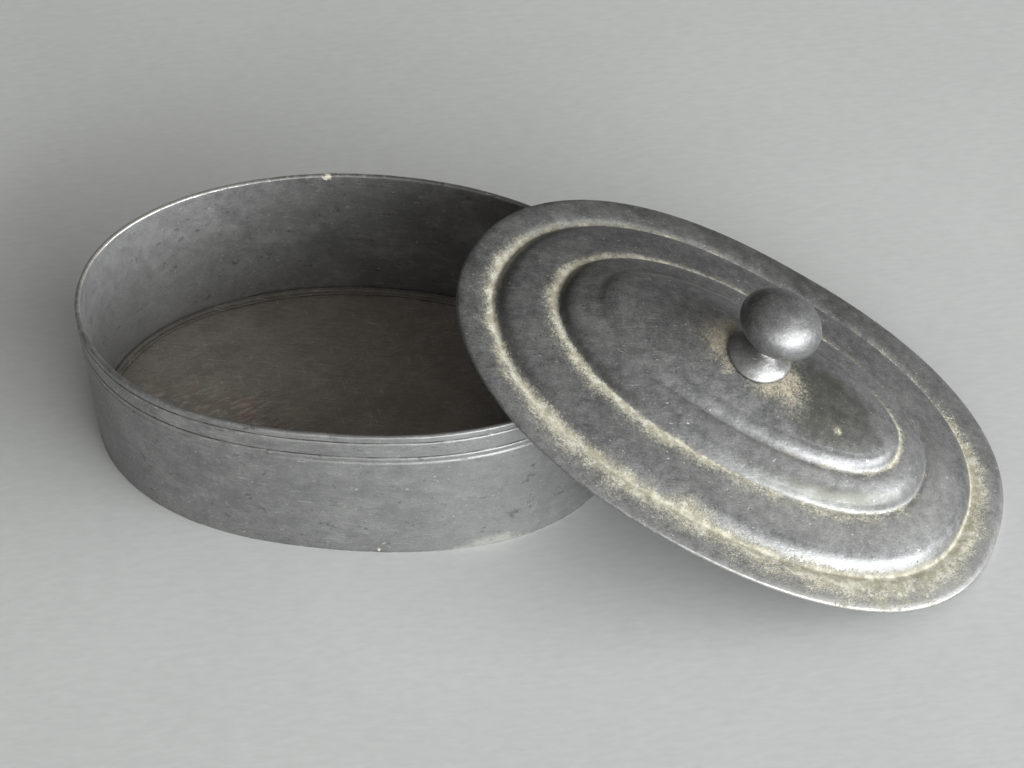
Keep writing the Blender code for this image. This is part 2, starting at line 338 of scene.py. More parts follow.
def pewter_base(f, dark, light, rough=0.5, brush=(0.0, 0.0, 0.0)):
    """Mottled oxide, fine grain, pits and brushed scratches: colour, roughness, height."""
    cloud = f.noise(14 * MM, 5.0, 0.62, warp=0.3)
    blot = f.noise(2.4 * MM, 5.0, 0.66)
    grain = f.noise(0.42 * MM, 4.0, 0.75)
    fine = f.noise(0.42 * MM, 3.0, 0.65, f.stretched((0.06, 1.0, 1.0), brush))
    share = f.math("ADD", f.math("MULTIPLY", cloud, 0.42), f.math("MULTIPLY", blot, 0.33))
    share = f.math("ADD", share, f.math("MULTIPLY", grain, 0.5))
    share = f.math("ADD", share, f.math("MULTIPLY", fine, 0.16))
    colour = f.mix(f.smooth(share, 0.5, 0.92), dark, light)
    spot = f.smooth(f.noise(1.5 * MM, 3.0, 0.65), 0.665, 0.75)
    spot = f.math("MULTIPLY", spot, f.smooth(cloud, 0.4, 0.62))
    colour = f.mix(f.math("MULTIPLY", spot, 0.6), colour, tuple(0.4 * c for c in dark))
    turn = (0.0, 0.0, brush[2] + 24.0)
    cross = f.noise(0.36 * MM, 2.0, 0.6, f.stretched((1.0, 0.05, 1.0), turn))
    lines = f.math("MAXIMUM", f.smooth(fine, 0.6, 0.7), f.smooth(cross, 0.63, 0.73))
    scratch = f.math("MULTIPLY", lines, f.smooth(blot, 0.4, 0.6))
    colour = f.mix(f.math("MULTIPLY", scratch, 0.4), colour, (0.62, 0.62, 0.60))
    scuff = f.math("MULTIPLY", f.smooth(fine, 0.42, 0.3), 0.35)
    colour = f.mix(scuff, colour, tuple(0.7 * c for c in dark))
    pits = f.smooth(f.cells(2.3 * MM), 0.13, 0.06)
    pits = f.math("MULTIPLY", pits, f.smooth(cloud, 0.48, 0.62))
    colour = f.mix(f.math("MULTIPLY", pits, 0.55), colour, (0.05, 0.048, 0.042))
    roughness = f.math("ADD", f.math("MULTIPLY", blot, 0.3), rough - 0.15)
    roughness = f.math("SUBTRACT", roughness, f.math("MULTIPLY", scratch, 0.12))
    height = f.math("ADD", f.math("MULTIPLY", blot, 0.09), f.math("MULTIPLY", grain, 0.02))
    height = f.math("SUBTRACT", height, f.math("MULTIPLY", pits, 0.05))
    height = f.math("ADD", height, f.math("MULTIPLY", fine, 0.018))
    return colour, roughness, height


def glints(f, colour, amount=0.6):
    """Tiny sparkles of clean metal where a scratch has cut through the dark oxide."""
    spark = f.smooth(f.noise(0.55 * MM, 1.0, 0.5, f.stretched((0.35, 1.0, 1.0))), 0.735, 0.78)
    return f.mix(f.math("MULTIPLY", spark, amount), colour, (0.82, 0.82, 0.80))


def wall_finish():
    f = Finish("wall_pewter_look")
    colour, rough, height = pewter_base(f, (0.17, 0.17, 0.17), (0.31, 0.31, 0.307), 0.5)
    # Painted shade: the inner face is darkened toward the back right.
    colour = f.mix(f.math("MULTIPLY", f.layer("inner_shade"), 0.8), colour, (0.06, 0.06, 0.06))
    # Painted light: the outer face is lighter toward the front right and the inner face toward the
    # left, as painted highlights.
    colour = f.mix(f.layer("bright"), colour, (0.5, 0.5, 0.505))
    colour = glints(f, colour, 0.45)
    blotch = f.smooth(f.noise(2.6 * MM, 5.0, 0.75, f.stretched((0.6, 0.6, 1.0))), 0.615, 0.66)
    colour = f.mix(f.math("MULTIPLY", blotch, 0.6), colour, (0.075, 0.075, 0.075))
    rubbed = f.smooth(f.noise(9 * MM, 5.0, 0.7, f.stretched((0.5, 0.5, 1.0))), 0.52, 0.68)
    colour = f.mix(f.math("MULTIPLY", rubbed, 0.4), colour, (0.42, 0.42, 0.415))
    groove = f.layer("groove")
    filled = f.smooth(f.noise(7 * MM), 0.35, 0.6, 0.35, 0.95)
    cut = f.math("MULTIPLY", f.smooth(groove, 0.25, 0.8), filled)
    colour = f.mix(cut, colour, (0.025, 0.024, 0.022))
    # Worn metal at the foot, the rim and a scrape, together with painted highlights: the rim much
    # lighter toward the back left and light strips below the incised lines.
    ragged = f.math("ADD", f.layer("wear_and_sheen"), f.math("MULTIPLY", f.noise(1.8 * MM), 0.9))
    bare_and_sheen = f.smooth(ragged, 0.85, 1.25)
    colour = f.mix(f.math("MULTIPLY", bare_and_sheen, 0.8), colour, (0.66, 0.65, 0.61))
    rough = f.blend(bare_and_sheen, rough, 0.3)
    # A soiled spot on the outer face toward the front right, and painted shade darkening the inner
    # face toward the floor.
    soil_and_shade = f.math("ADD", f.layer("stain_and_shade"), f.math("MULTIPLY", f.noise(2.2 * MM, 5.0, 0.65), 0.9))
    soil_and_shade = f.smooth(soil_and_shade, 0.95, 1.25)
    colour = f.mix(f.math("MULTIPLY", soil_and_shade, 0.75), colour, (0.07, 0.068, 0.062))
    chip = f.math("ADD", f.layer("chip"), f.math("MULTIPLY", f.noise(0.9 * MM, 4.0, 0.7), 0.9))
    chip = f.smooth(chip, 1.05, 1.2)
    colour = f.mix(chip, colour, (0.60, 0.57, 0.48))
    metal = f.math("MULTIPLY", f.math("SUBTRACT", 1.0, chip), 0.72)
    height = f.math("ADD", height, f.math("MULTIPLY", chip, 0.05))
    return f.done(colour, rough, height, metal)


def floor_finish():
    f = Finish("floor_pewter_look")
    colour, rough, height = pewter_base(f, (0.19, 0.175, 0.155), (0.34, 0.315, 0.282), 0.55)
    streak = f.noise(0.8 * MM, 5.0, 0.75, f.stretched((0.2, 1.0, 1.0), (0, 0, 36.0)))
    lit = f.math("MULTIPLY", f.smooth(streak, 0.48, 0.66), f.layer("scour"))
    colour = f.mix(f.math("MULTIPLY", lit, 0.9), colour, (0.60, 0.50, 0.43))
    rust = f.math("MULTIPLY", f.smooth(f.noise(2.8 * MM, 5.0, 0.7), 0.5, 0.66), f.layer("scour"))
    colour = f.mix(f.math("MULTIPLY", rust, 0.5), colour, (0.36, 0.20, 0.14))
    height = f.math("ADD", height, f.math("MULTIPLY", streak, 0.03))
    metal = f.math("SUBTRACT", 0.65, f.math("MULTIPLY", rust, 0.4))
    return f.done(colour, rough, height, metal)


def solder_finish(name, dark, light, rough=0.55):
    f = Finish(name)
    colour, rough, height = pewter_base(f, dark, light, rough)
    lumps = f.noise(1.7 * MM, 3.0, 0.6)
    colour = f.mix(f.smooth(lumps, 0.58, 0.72, 0.0, 0.5), colour, light)
    height = f.math("ADD", height, f.math("MULTIPLY", lumps, 0.18))
    return f.done(colour, rough, height)


def lid_finish():
    f = Finish("lid_pewter_look")
    dark, light = (0.125, 0.127, 0.132), (0.33, 0.33, 0.333)
    colour, rough, height = pewter_base(f, dark, light, 0.46, (0, 0, 8.0))
    # Painted light: the flats are paler toward the right and the front right.
    colour = f.mix(f.layer("pale"), colour, (0.62, 0.62, 0.605))
    colour = glints(f, colour, 0.7)
    # Painted shade: a darker dome, darker slopes at the foot of each rise, a darker border at the
    # back and the left, and a dimmed second rise toward the front right.
    lid_shade = f.math("ADD", f.layer("lid_shade"), f.math("MULTIPLY", f.noise(4 * MM, 5.0, 0.6), 0.7))
    lid_shade = f.smooth(lid_shade, 0.55, 1.2)
    colour = f.mix(f.math("MULTIPLY", lid_shade, 0.75), colour, (0.085, 0.085, 0.065))
    # Worn metal at the lip, with painted highlights on the crests of the rises and on the lip
    # toward the front right.
    ragged = f.math("ADD", f.layer("wear_and_sheen"), f.math("MULTIPLY", f.noise(1.4 * MM, 5.0, 0.65), 0.8))
    bare_and_sheen = f.smooth(ragged, 0.85, 1.3)
    colour = f.mix(f.math("MULTIPLY", bare_and_sheen, 0.7), colour, (0.70, 0.69, 0.66))
    rough = f.blend(f.math("MULTIPLY", bare_and_sheen, 0.6), rough, 0.27)
    broad = f.noise(5.0 * MM, 6.0, 0.7)
    crumbs = f.noise(0.6 * MM, 6.0, 0.8)
    breakup = f.math("ADD", f.math("MULTIPLY", broad, 0.65), f.math("MULTIPLY", crumbs, 0.85))
    uneven = f.math("MULTIPLY", f.math("SUBTRACT", breakup, 0.75), 1.9)
    crust = f.math("ADD", f.layer("residue"), uneven)
    film = f.smooth(crust, 0.16, 0.8)
    cake = f.smooth(crust, 0.5, 0.86)
    pale = f.smooth(f.noise(2.1 * MM, 4.0, 0.6), 0.4, 0.62)
    pale = f.mix(pale, POLISH_THIN, POLISH_THICK)
    pale = f.mix(f.math("MULTIPLY", f.layer("tan"), 0.75), pale, POLISH_TAN)
    colour = f.mix(f.math("MULTIPLY", film, 0.5), colour, POLISH_FILM)
    colour = f.mix(f.math("MULTIPLY", cake, 0.9), colour, pale)
    rough = f.blend(cake, rough, 0.85)
    metal = f.math("SUBTRACT", 0.82, f.math("MULTIPLY", film, 0.3))
    metal = f.math("SUBTRACT", metal, f.math("MULTIPLY", cake, 0.45), True)
    height = f.math("ADD", height, f.math("MULTIPLY", f.math("MULTIPLY", cake, crumbs), 0.12))
    return f.done(colour, rough, height, metal)


def knob_finish(name, dark, light, rough):
    f = Finish(name)
    colour, rough, height = pewter_base(f, dark, light, rough, (20.0, 0, 40.0))
    colour = glints(f, colour, 0.5)
    # Painted shade: darkened under the ball and round the foot's rim against the lid.
    knob_shade = f.math("ADD", f.layer("knob_shade"), f.math("MULTIPLY", f.noise(1.2 * MM, 4.0), 0.7))
    colour = f.mix(f.smooth(knob_shade, 0.75, 1.2, 0.0, 0.85), colour, (0.06, 0.055, 0.045))
    dents = f.smooth(f.cells(5.5 * MM), 0.3, 0.05)
    height = f.math("SUBTRACT", height, f.math("MULTIPLY", dents, 0.06))
    return f.done(colour, rough, height)


def plain_finish(name, dark, light, rough=0.5):
    f = Finish(name)
    return f.done(*pewter_base(f, dark, light, rough))


# ---- box ---------------------------------------------------------------------
def wall_rows():
    """(height, inset) round the wall's section, fine at the lines and the rim."""
    rows = [(0.25 * MM, 0.0)]
    heights = list(np.arange(1.0, 30.0, 0.9) * MM)
    for depth in reversed(LINE_DEPTHS):
        centre = WALL_HEIGHT - depth
        heights += list(centre + np.linspace(-1.5, 1.5, 25) * MM)
    heights += list(WALL_HEIGHT - np.array([4.6, 4.2, 3.8, 3.5]) * MM)
    for height in sorted(heights):
        if rows[-1][0] < height < WALL_HEIGHT - RIM_ROUND:
            rows.append((height, line_cut(height)))
    crown = WALL_THICK / 2.0
    for turn in np.linspace(0.0, math.pi, 15):
        rows.append((WALL_HEIGHT - RIM_ROUND + RIM_ROUND * math.sin(turn) ** 0.8,
                     crown - crown * math.cos(turn)))
    rows += [(h, WALL_THICK) for h in np.linspace(WALL_HEIGHT - 1.2 * MM, 0.6 * MM, 42)]
    rows += [(0.0, WALL_THICK - 0.2 * MM), (0.0, 0.25 * MM)]
    return np.array(rows)


def line_cut(height):
    """How far the incised lines and their burrs move the outer face inward."""
    inset = 0.0
    for depth in LINE_DEPTHS:
        away = height - (WALL_HEIGHT - depth)
        inset += LINE_CUT * bump_at(away, 0.0, 0.55 * LINE_HALF_WIDTH)
        inset -= LINE_BURR * bump_at(away, -1.7 * LINE_HALF_WIDTH, 0.8 * LINE_HALF_WIDTH)
    return inset


def wall_grid(rows, angle):
    height, inset = rows[:, 0][:, None], rows[:, 1][:, None]
    narrow = WALL_TAPER * (1.0 - height / WALL_HEIGHT) + inset
    x, y = oval(RIM_LONG - narrow, RIM_SHORT - narrow, BOX_OVAL, angle[None, :])
    return np.stack([x, y, np.broadcast_to(height, x.shape)], -1)


def push_out(grid, amount):
    """Move points level and square to the oval, by amount."""
    x, y = grid[..., 0] / RIM_LONG**2, grid[..., 1] / RIM_SHORT**2
    size = np.hypot(x, y)
    grid[..., 0] += amount * x / size
    grid[..., 1] += amount * y / size


def build_wall():
    angle = turns(OVAL_STEPS)
    rows = wall_rows()
    grid = wall_grid(rows, angle)
    height = grid[..., 2].copy()
    inset = np.broadcast_to(rows[:, 1][:, None], height.shape)
    free = ease(height, 1.0 * MM, 8.0 * MM)
    push_out(grid, (0.11 * drift(grid, 21 * MM, 1) * free + 0.035 * drift(grid, 6 * MM, 2)) * MM)
    sag = 0.16 * drift(grid * (1, 1, 0), 17 * MM, 3) + 0.05 * drift(grid * (1, 1, 0), 4 * MM, 4)
    grid[..., 2] -= ease(height, 30 * MM, WALL_HEIGHT) * (0.1 + np.abs(sag)) * MM
    rim = ease(height, WALL_HEIGHT - 0.7 * MM, WALL_HEIGHT - 0.1 * MM)
    outside = inset < 0.5 * WALL_THICK
    foot = 0.55 * ease(height, 1.3 * MM, 0.2 * MM) * outside
    groove = np.zeros(height.shape)
    light = np.zeros(height.shape)
    for depth in LINE_DEPTHS:
        away = height - (WALL_HEIGHT - depth)
        groove += bump_at(away, 0.0, 0.62 * LINE_HALF_WIDTH)
        # Painted highlight on the burr below each incised line.
        light += 0.5 * bump_at(away, -1.7 * LINE_HALF_WIDTH, 0.9 * LINE_HALF_WIDTH)
    turn = np.broadcast_to(angle[None, :], height.shape)
    band = 0.12 * ease(height, WALL_HEIGHT - 1.9 * MM, WALL_HEIGHT - 1.2 * MM)
    # The rim is worn all round and carries a painted highlight toward the back left.
    shine = 0.3 + 0.45 * angle_bump(turn, 150, 50)
    wear_and_sheen = shine * rim + foot + (light + band) * outside
    scrape = angle_bump(turn, 304, 9) * bump_at(height, 1.2 * MM, 3.0 * MM)
    wear_and_sheen = wear_and_sheen + 0.75 * scrape * outside
    stain_and_shade = 0.62 * angle_bump(turn, 309, 9) * bump_at(height, 8.0 * MM, 3.5 * MM) * outside
    # Painted shade: the inner face darkens toward the floor.
    stain_and_shade = stain_and_shade + 0.3 * ease(height, 6 * MM, 2 * MM) * ~outside
    chip = 0.9 * angle_bump(turn, 102, 1.7) * bump_at(height, WALL_HEIGHT - 0.5 * MM, 1.4 * MM)
    chip = chip + 0.55 * angle_bump(turn, 118, 1.2) * bump_at(height, WALL_HEIGHT, 1.0 * MM)
    chip = chip + 0.9 * angle_bump(turn, 279, 1.1) * bump_at(height, 1.3 * MM, 1.3 * MM)
    # Painted shade on the inner face toward the back right.
    inner_shade = 0.3 * angle_bump(turn, 62, 52) * ~outside
    # Painted highlights: the outer face toward the front right and the inner face toward the left.
    bright = 0.34 * angle_bump(turn, 308, 30) * outside
    bright = bright + 0.32 * angle_bump(turn, 165, 38) * ~outside
    layers = {"groove": np.clip(groove, 0, 1) * outside, "wear_and_sheen": wear_and_sheen, "stain_and_shade": stain_and_shade,
              "chip": chip, "inner_shade": inner_shade, "bright": bright}
    obj = add_grid("pewter_side_wall", grid, wall_finish(), Matrix.Identity(4), layers)
    settle(obj, "box", "side_wall")


def build_floor():
    angle = turns(OVAL_STEPS)
    inset = WALL_THICK + GAP
    shares = np.linspace(0.02, 0.985, FLOOR_RINGS)
    shares = np.concatenate([shares, [0.995, 1.0, 1.0, 0.995]])
    heights = np.full(shares.shape, BASE_THICK)
    heights[-3] -= 0.08 * MM
    heights[-2:] = 0.0
    narrow = inset + WALL_TAPER
    x, y = oval(RIM_LONG - narrow, RIM_SHORT - narrow, BOX_OVAL, angle[None, :])
    grid = np.stack([x * shares[:, None], y * shares[:, None],
                     np.broadcast_to(heights[:, None], (len(shares), len(angle)))], -1)
    top = (np.arange(len(shares)) < FLOOR_RINGS)[:, None]
    hollow = 0.08 + 0.1 * drift(grid, 19 * MM, 5) + 0.02 * drift(grid, 5 * MM, 6)
    grid[..., 2] -= top * hollow * MM
    reach = np.hypot((grid[..., 0] + 34 * MM) / (24 * MM), (grid[..., 1] + 9 * MM) / (15 * MM))
    scour = 0.12 + 0.88 * ease(reach, 1.3, 0.3)
    obj = add_grid("pewter_floor", grid, floor_finish(), Matrix.Identity(4),
                   {"scour": scour}, loop=False, caps=True)
    settle(obj, "box", "base_plate")


def build_floor_solder():
    angle = turns(OVAL_STEPS)
    near = WALL_THICK + GAP
    low = BASE_THICK + GAP - SOLDER_SINK
    curve = np.linspace(0.0, 1.0, 12)
    reach = near + FILLET_REACH * FILLET_LEG * (1.0 - np.sqrt(1.0 - (1.0 - curve) ** 2) ** 0.9)
    rise = low + 0.75 * FILLET_RISE * (1.0 - np.sqrt(1.0 - curve**2)) ** 0.9
    rows = np.array([(low, near)] + list(zip(rise[::-1], reach[::-1])))
    grid = wall_grid(rows, angle)
    share = (rows[:, 1] - near)[:, None] / FILLET_LEG
    push_out(grid, share * 1.1 * (drift(grid, 7 * MM, 7) * 0.5 + 0.5) * MM)
    finish = solder_finish("floor_solder_look", (0.13, 0.12, 0.105), (0.25, 0.235, 0.21), 0.7)
    obj = add_grid("floor_solder", grid, finish, Matrix.Identity(4))
    settle(obj, "box", "floor_solder_fillet")


# ---- lid ---------------------------------------------------------------------
def lid_placement():
    """The lid's frame: its turn is known, its place follows from the CAD lid's box."""
    spin = Matrix.Rotation(math.radians(LID_SPIN), 4, "Z")
    heading = math.radians(LID_DOWNHILL)
    axis = Vector((-math.sin(heading), math.cos(heading), 0.0))
    turn = Matrix.Rotation(math.radians(LID_TILT), 4, axis) @ spin
    low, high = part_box("lid_cover")
    x, y = oval(LID_LONG, LID_SHORT, LID_OVAL, turns(OVAL_STEPS))
    edge = [turn @ Vector((px, py, 0.0)) for px, py in zip(x, y)]
    left = min(p.x for p in edge)
    right = max(p.x for p in edge)
    front = min(p.y for p in edge)
    back = max(p.y for p in edge)
    thick = turn.to_3x3() @ Vector((0.0, 0.0, 1.0))
    lowest = min(p.z for p in edge) - LIP_DROP * thick.z
    place = Vector(((low.x + high.x - left - right) / 2.0,
                    (low.y + high.y - front - back) / 2.0, low.z - lowest))
    return Matrix.Translation(place) @ turn


def lid_top_run():
    """(inset, height) up the lid's upper face, from lip to the edge of the dome."""
    border = [(0.35, 0.42), (1.1, 0.68), (2.2, 0.86), (4.6, 1.05), (6.4, 0.92)]
    first = [(7.6, 0.52), (8.1, 0.4), (8.5, 0.75), (9.4, 1.85), (10.7, 2.95), (12.4, 3.6)]
    band = [(15.0, 4.2), (18.2, 4.8), (20.4, 5.05)]
    second = [(21.3, 4.98), (21.8, 5.35), (22.8, 6.75), (24.2, 7.95), (26.0, 8.75), (28.3, 9.3)]
    third = [(29.2, 9.35), (29.8, 9.75), (30.6, 10.6), (31.6, 11.25), (32.8, 11.6)]
    run = np.array(border + first + band + second + third) * MM
    lip = np.array([(0.0, -0.4), (0.0, -0.1), (0.05, 0.15), (0.16, 0.3)]) * MM
    return np.vstack([lip, smooth_run(run, 0.34 * MM)])


def lid_under_run(top):
    """The lower face: the upper one moved down square to itself and smoothed."""
    spaced = top[6::4]
    along = np.gradient(spaced, axis=0)
    size = np.hypot(along[:, 0], along[:, 1])
    inset = spaced[:, 0] + LID_THICK * along[:, 1] / size
    height = spaced[:, 1] - LID_THICK * along[:, 0] / size
    keep = [(0.12 * MM, -LIP_DROP)]
    for d, z in zip(inset, height):
        if d - keep[-1][0] > 0.5 * MM and d < DOME_EDGE_INSET - 0.4 * MM:
            keep.append((d, z))
    keep.append((DOME_EDGE_INSET, DOME_EDGE - LID_THICK))
    return np.array(keep)


def dome_height(share):
    return DOME_TOP - (DOME_TOP - DOME_EDGE) * share ** DOME_POWER


def lid_rows():
    """(inset or None, share of the dome, height, side) for each ring of the lid."""
    top = lid_top_run()
    rows = [(d, 1.0, z, 1.0) for d, z in top]
    rows += [(DOME_EDGE_INSET, s, dome_height(s), 1.0) for s in np.linspace(0.975, 0.16, 44)]
    hole = STEM_HOLE / (LID_LONG - DOME_EDGE_INSET)
    rows += [(DOME_EDGE_INSET, s, dome_height(s) - LID_THICK, 0.0)
             for s in np.linspace(max(hole, 0.16), 0.97, 22)]
    rows += [(d, 1.0, z, 0.0) for d, z in lid_under_run(top)[::-1]]
    return np.array(rows)


def lid_grid(rows, angle):
    inset, share, height = (rows[:, i][:, None] for i in range(3))
    x, y = oval((LID_LONG - inset) * share, (LID_SHORT - inset) * share, LID_OVAL,
                angle[None, :])
    return np.stack([x, y, np.broadcast_to(height, x.shape)], -1)


def band_of(away, outward, inward):
    """1 in a crease, falling off outward and inward over the given widths."""
    reach = np.abs(away) / np.where(away < 0, outward, inward)
    return np.exp(-reach ** 1.6)


def lid_residue(inset, share, angle, grid):
    """Where pale polish has dried: in the creases, over the border, round the knob."""
    left = angle_bump(angle, 192, 42)
    low_left = angle_bump(angle, 252, 34)
    low_right = angle_bump(angle, 312, 34)
    right = angle_bump(angle, 8, 34)
    back = angle_bump(angle, 75, 34)
    outward = (1.2 + 2.5 * left + 3.8 * low_left + 8.5 * low_right + 3.0 * right) * MM
    inward = (0.7 + 1.0 * low_left + 0.6 * low_right) * MM
    first = 0.66 + 0.3 * left + 0.26 * low_left + 0.26 * low_right + 0.42 * right - 0.1 * back
    total = first * band_of(inset - CREASES[0], outward, inward)
    outward = (1.7 + 1.5 * left + 1.6 * low_left + 3.0 * low_right) * MM
    second = 0.68 + 0.32 * left + 0.2 * low_left + 0.14 * angle_bump(angle, 130, 40)
    second = second - 0.3 * angle_bump(angle, 20, 40)
    total = np.maximum(total, second * band_of(inset - CREASES[1], outward, 0.6 * MM))
    third = 0.15 + 0.7 * right + 0.35 * low_right + 0.1 * back
    fall = band_of(inset - CREASES[2], 1.5 * MM, 0.7 * MM) * (share > 0.99)
    total = np.maximum(total, third * fall)
    around = np.arctan2(grid[..., 1], grid[..., 0])
    reach = np.maximum(np.hypot(grid[..., 0], grid[..., 1]) - FOOT_RADIUS, 0.0)
    patch = 0.44 + 0.4 * angle_bump(around, 190, 50) + 0.4 * angle_bump(around, 325, 45)
    spread = (2.8 + 5.8 * angle_bump(around, 183, 38) + 6.0 * angle_bump(around, 338, 32)) * MM
    total = np.maximum(total, patch * np.exp(-(reach / spread) ** 2))
    spot = np.hypot(grid[..., 0] - 22.7 * MM, grid[..., 1] + 6.5 * MM)
    total = np.maximum(total, 1.0 * np.exp(-(spot / (1.3 * MM)) ** 2))
    blotch = np.hypot((grid[..., 0] - 3.0 * MM) / 1.9, grid[..., 1] + 39.0 * MM)
    return np.maximum(total, 0.95 * np.exp(-(blotch / (4.2 * MM)) ** 2))


def lid_layers(rows, angle, grid):
    inset = np.broadcast_to(rows[:, 0][:, None], grid.shape[:2])
    share = np.broadcast_to(rows[:, 1][:, None], grid.shape[:2])
    upper = np.broadcast_to(rows[:, 3][:, None], grid.shape[:2])
    turn = np.broadcast_to(angle[None, :], grid.shape[:2])
    lip = ease(inset, 0.5 * MM, 0.05 * MM) * (share > 0.99)
    # Painted highlights on the crests of the three rises toward the front right.
    ridge = 0.35 * bump_at(inset, 10.6 * MM, 1.6 * MM) * angle_bump(turn, 305, 40)
    ridge = ridge + 0.25 * bump_at(inset, 23.6 * MM, 1.8 * MM) * angle_bump(turn, 308, 42)
    ridge = ridge + 0.36 * bump_at(inset, 31.0 * MM, 1.0 * MM) * angle_bump(turn, 300, 45)
    # Painted shade in the lines below: the dome darker toward its right, the foot of each rise
    # darker, most on the left, the border darker at the back and the left, and the second rise
    # dimmed toward the front right.
    dark = np.hypot((grid[..., 0] - 17 * MM) / (19 * MM), (grid[..., 1] + 2.0 * MM) / (13 * MM))
    gloom = 0.7 * ease(dark, 1.25, 0.45) * (share < 1.0)
    side = angle_bump(turn, 170, 85)
    gloom = np.maximum(gloom, (0.15 + 0.35 * side) * bump_at(inset, 9.6 * MM, 1.1 * MM))
    gloom = np.maximum(gloom, (0.2 + 0.45 * side) * bump_at(inset, 22.6 * MM, 1.2 * MM))
    gloom = np.maximum(gloom, 0.5 * side * bump_at(inset, 29.0 * MM, 1.5 * MM) * (share > 0.99))
    gloom = np.maximum(gloom, 0.2 * angle_bump(turn, 165, 60) * ease(inset, 7.0 * MM, 9.5 * MM))
    edge = 0.5 * angle_bump(turn, 95, 40) + 0.35 * angle_bump(turn, 190, 50)
    gloom = np.maximum(gloom, edge * ease(inset, 8.5 * MM, 6.5 * MM))
    shade = 0.75 * bump_at(inset, 23.6 * MM, 2.6 * MM) * angle_bump(turn, 312, 42)
    gloom = np.maximum(gloom, shade)
    crest = sum(bump_at(inset, place * MM, 2.6 * MM) for place in (10.8, 23.8, 31.0))
    # Painted light on the flats toward the right and the front right, kept off the crests.
    pale = 0.27 * angle_bump(turn, 352, 50) + 0.16 * angle_bump(turn, 295, 40)
    pale = pale * np.clip(1.0 - crest, 0.0, 1.0) * (share > 0.99)
    # The lip is worn all round and carries a painted highlight toward the front right.
    lip = lip * (0.25 + 0.6 * angle_bump(turn, 300, 48))
    tan = ease(np.hypot(grid[..., 0], grid[..., 1]), 20 * MM, 11 * MM)
    return {"residue": lid_residue(inset, share, turn, grid) * upper, "tan": tan,
            "wear_and_sheen": ridge * upper + lip, "lid_shade": gloom * upper, "pale": pale * upper}


def soften_third_rise(grid, rows, angle):
    """The innermost rise is crisp toward the right and worn to a soft swell at the left."""
    start, height_in, finish, height_out = 25.0 * MM, 8.4 * MM, 32.8 * MM, 11.6 * MM
    share = ((rows[:, 0] - start) / (finish - start))[:, None]
    swell = height_in + (height_out - height_in) * (1.15 * share - 0.15 * share**2)
    swell = swell - (1.0 - rows[:, 3])[:, None] * LID_THICK
    span = ease(share, 0.0, 0.35) * ease(share, 1.0, 0.8) * (rows[:, 1] > 0.999)[:, None]
    worn = 0.72 * angle_bump(angle, 178, 62)[None, :]
    grid[..., 2] += (swell - grid[..., 2]) * span * worn


def build_lid(place):
    angle = turns(OVAL_STEPS)
    rows = lid_rows()
    grid = lid_grid(rows, angle)
    layers = lid_layers(rows, angle, grid)
    soften_third_rise(grid, rows, angle)
    inward = ease(np.broadcast_to(rows[:, 0][:, None], grid.shape[:2]), 0.0, 6.0 * MM)
    flat = grid * (1, 1, 0)
    wave = 0.16 * drift(flat, 24 * MM, 8) + 0.06 * drift(flat, 8 * MM, 9)
    grid[..., 2] += inward * wave * MM
    stretch = 1.0 + 0.004 * drift(flat, 16 * MM, 10) * inward
    grid[..., 0] *= stretch
    grid[..., 1] *= stretch
    obj = add_grid("pewter_lid", grid, lid_finish(), place, layers)
    settle(obj, "lid", "lid_cover")


def mouth_grid(rows, angle):
    inset, height = rows[:, 0][:, None], rows[:, 1][:, None]
    grow = WALL_THICK + BEZEL_CLEAR + inset
    x, y = oval(RIM_LONG - grow, RIM_SHORT - grow, BOX_OVAL, angle[None, :])
    return np.stack([x, y, np.broadcast_to(height, x.shape)], -1)


def build_bezel(place):
    low, high, soft = BEZEL_BOTTOM, BEZEL_TOP, 0.2 * MM
    rows = np.array([(soft, low), (0.3 * soft, low + 0.3 * soft), (0.0, low + soft),
                     (0.0, high - soft), (soft, high), (BEZEL_THICK - soft, high),
                     (BEZEL_THICK, high - soft), (BEZEL_THICK, low + soft),
                     (BEZEL_THICK - 0.3 * soft, low + 0.3 * soft), (BEZEL_THICK - soft, low)])
    grid = mouth_grid(rows, turns(OVAL_STEPS))
    obj = add_grid("locating_ring", grid,
                   plain_finish("bezel_pewter_look", (0.17, 0.17, 0.165), (0.32, 0.32, 0.31)),
                   place)
    settle(obj, "lid", "lid_bezel_ring")


def build_bezel_solder(place):
    near = BEZEL_THICK + GAP
    top = BEZEL_TOP - BEZEL_FILLET_DROP
    curve = np.linspace(0.0, 1.0, 9)
    sweep = [(near + BEZEL_FILLET * (1.0 - math.cos(0.5 * math.pi * c)) ** 1.2,
              top - 0.7 * BEZEL_FILLET * (1.0 - math.sin(0.5 * math.pi * c)) ** 1.2)
             for c in curve]
    rows = np.array([(near, top)] + sweep[::-1])
    grid = mouth_grid(rows, turns(OVAL_STEPS))
    obj = add_grid("locating_ring_solder", grid,
                   solder_finish("bezel_solder_look", (0.2, 0.19, 0.18), (0.36, 0.35, 0.34)),
                   place)
    settle(obj, "lid", "bezel_solder_fillet")


# ---- knob --------------------------------------------------------------------
def knob_frame():
    up = Vector((math.tan(math.radians(KNOB_LEAN_RIGHT)),
                 math.tan(math.radians(KNOB_LEAN_BACK)), 1.0)).normalized()
    side = Vector((0.0, 1.0, 0.0)).cross(up).normalized()
    back = up.cross(side)
    turn = Matrix((side, back, up)).transposed().to_4x4()
    return Matrix.Translation((0.0, 0.0, DOME_TOP)) @ turn


def turned_grid(section, steps=ROUND_STEPS):
    angle = turns(steps)
    radius, height = section[:, 0][:, None], section[:, 1][:, None]
    x, y = radius * np.cos(angle), radius * np.sin(angle)
    return np.stack([x, y, np.broadcast_to(height, x.shape)], -1)


def dome_surface(x, y):
    long_axis = LID_LONG - DOME_EDGE_INSET
    short_axis = LID_SHORT - DOME_EDGE_INSET
    power = LID_OVAL[0]
    share = (abs(x / long_axis) ** power + abs(y / short_axis) ** power) ** (1.0 / power)
    return dome_height(share)


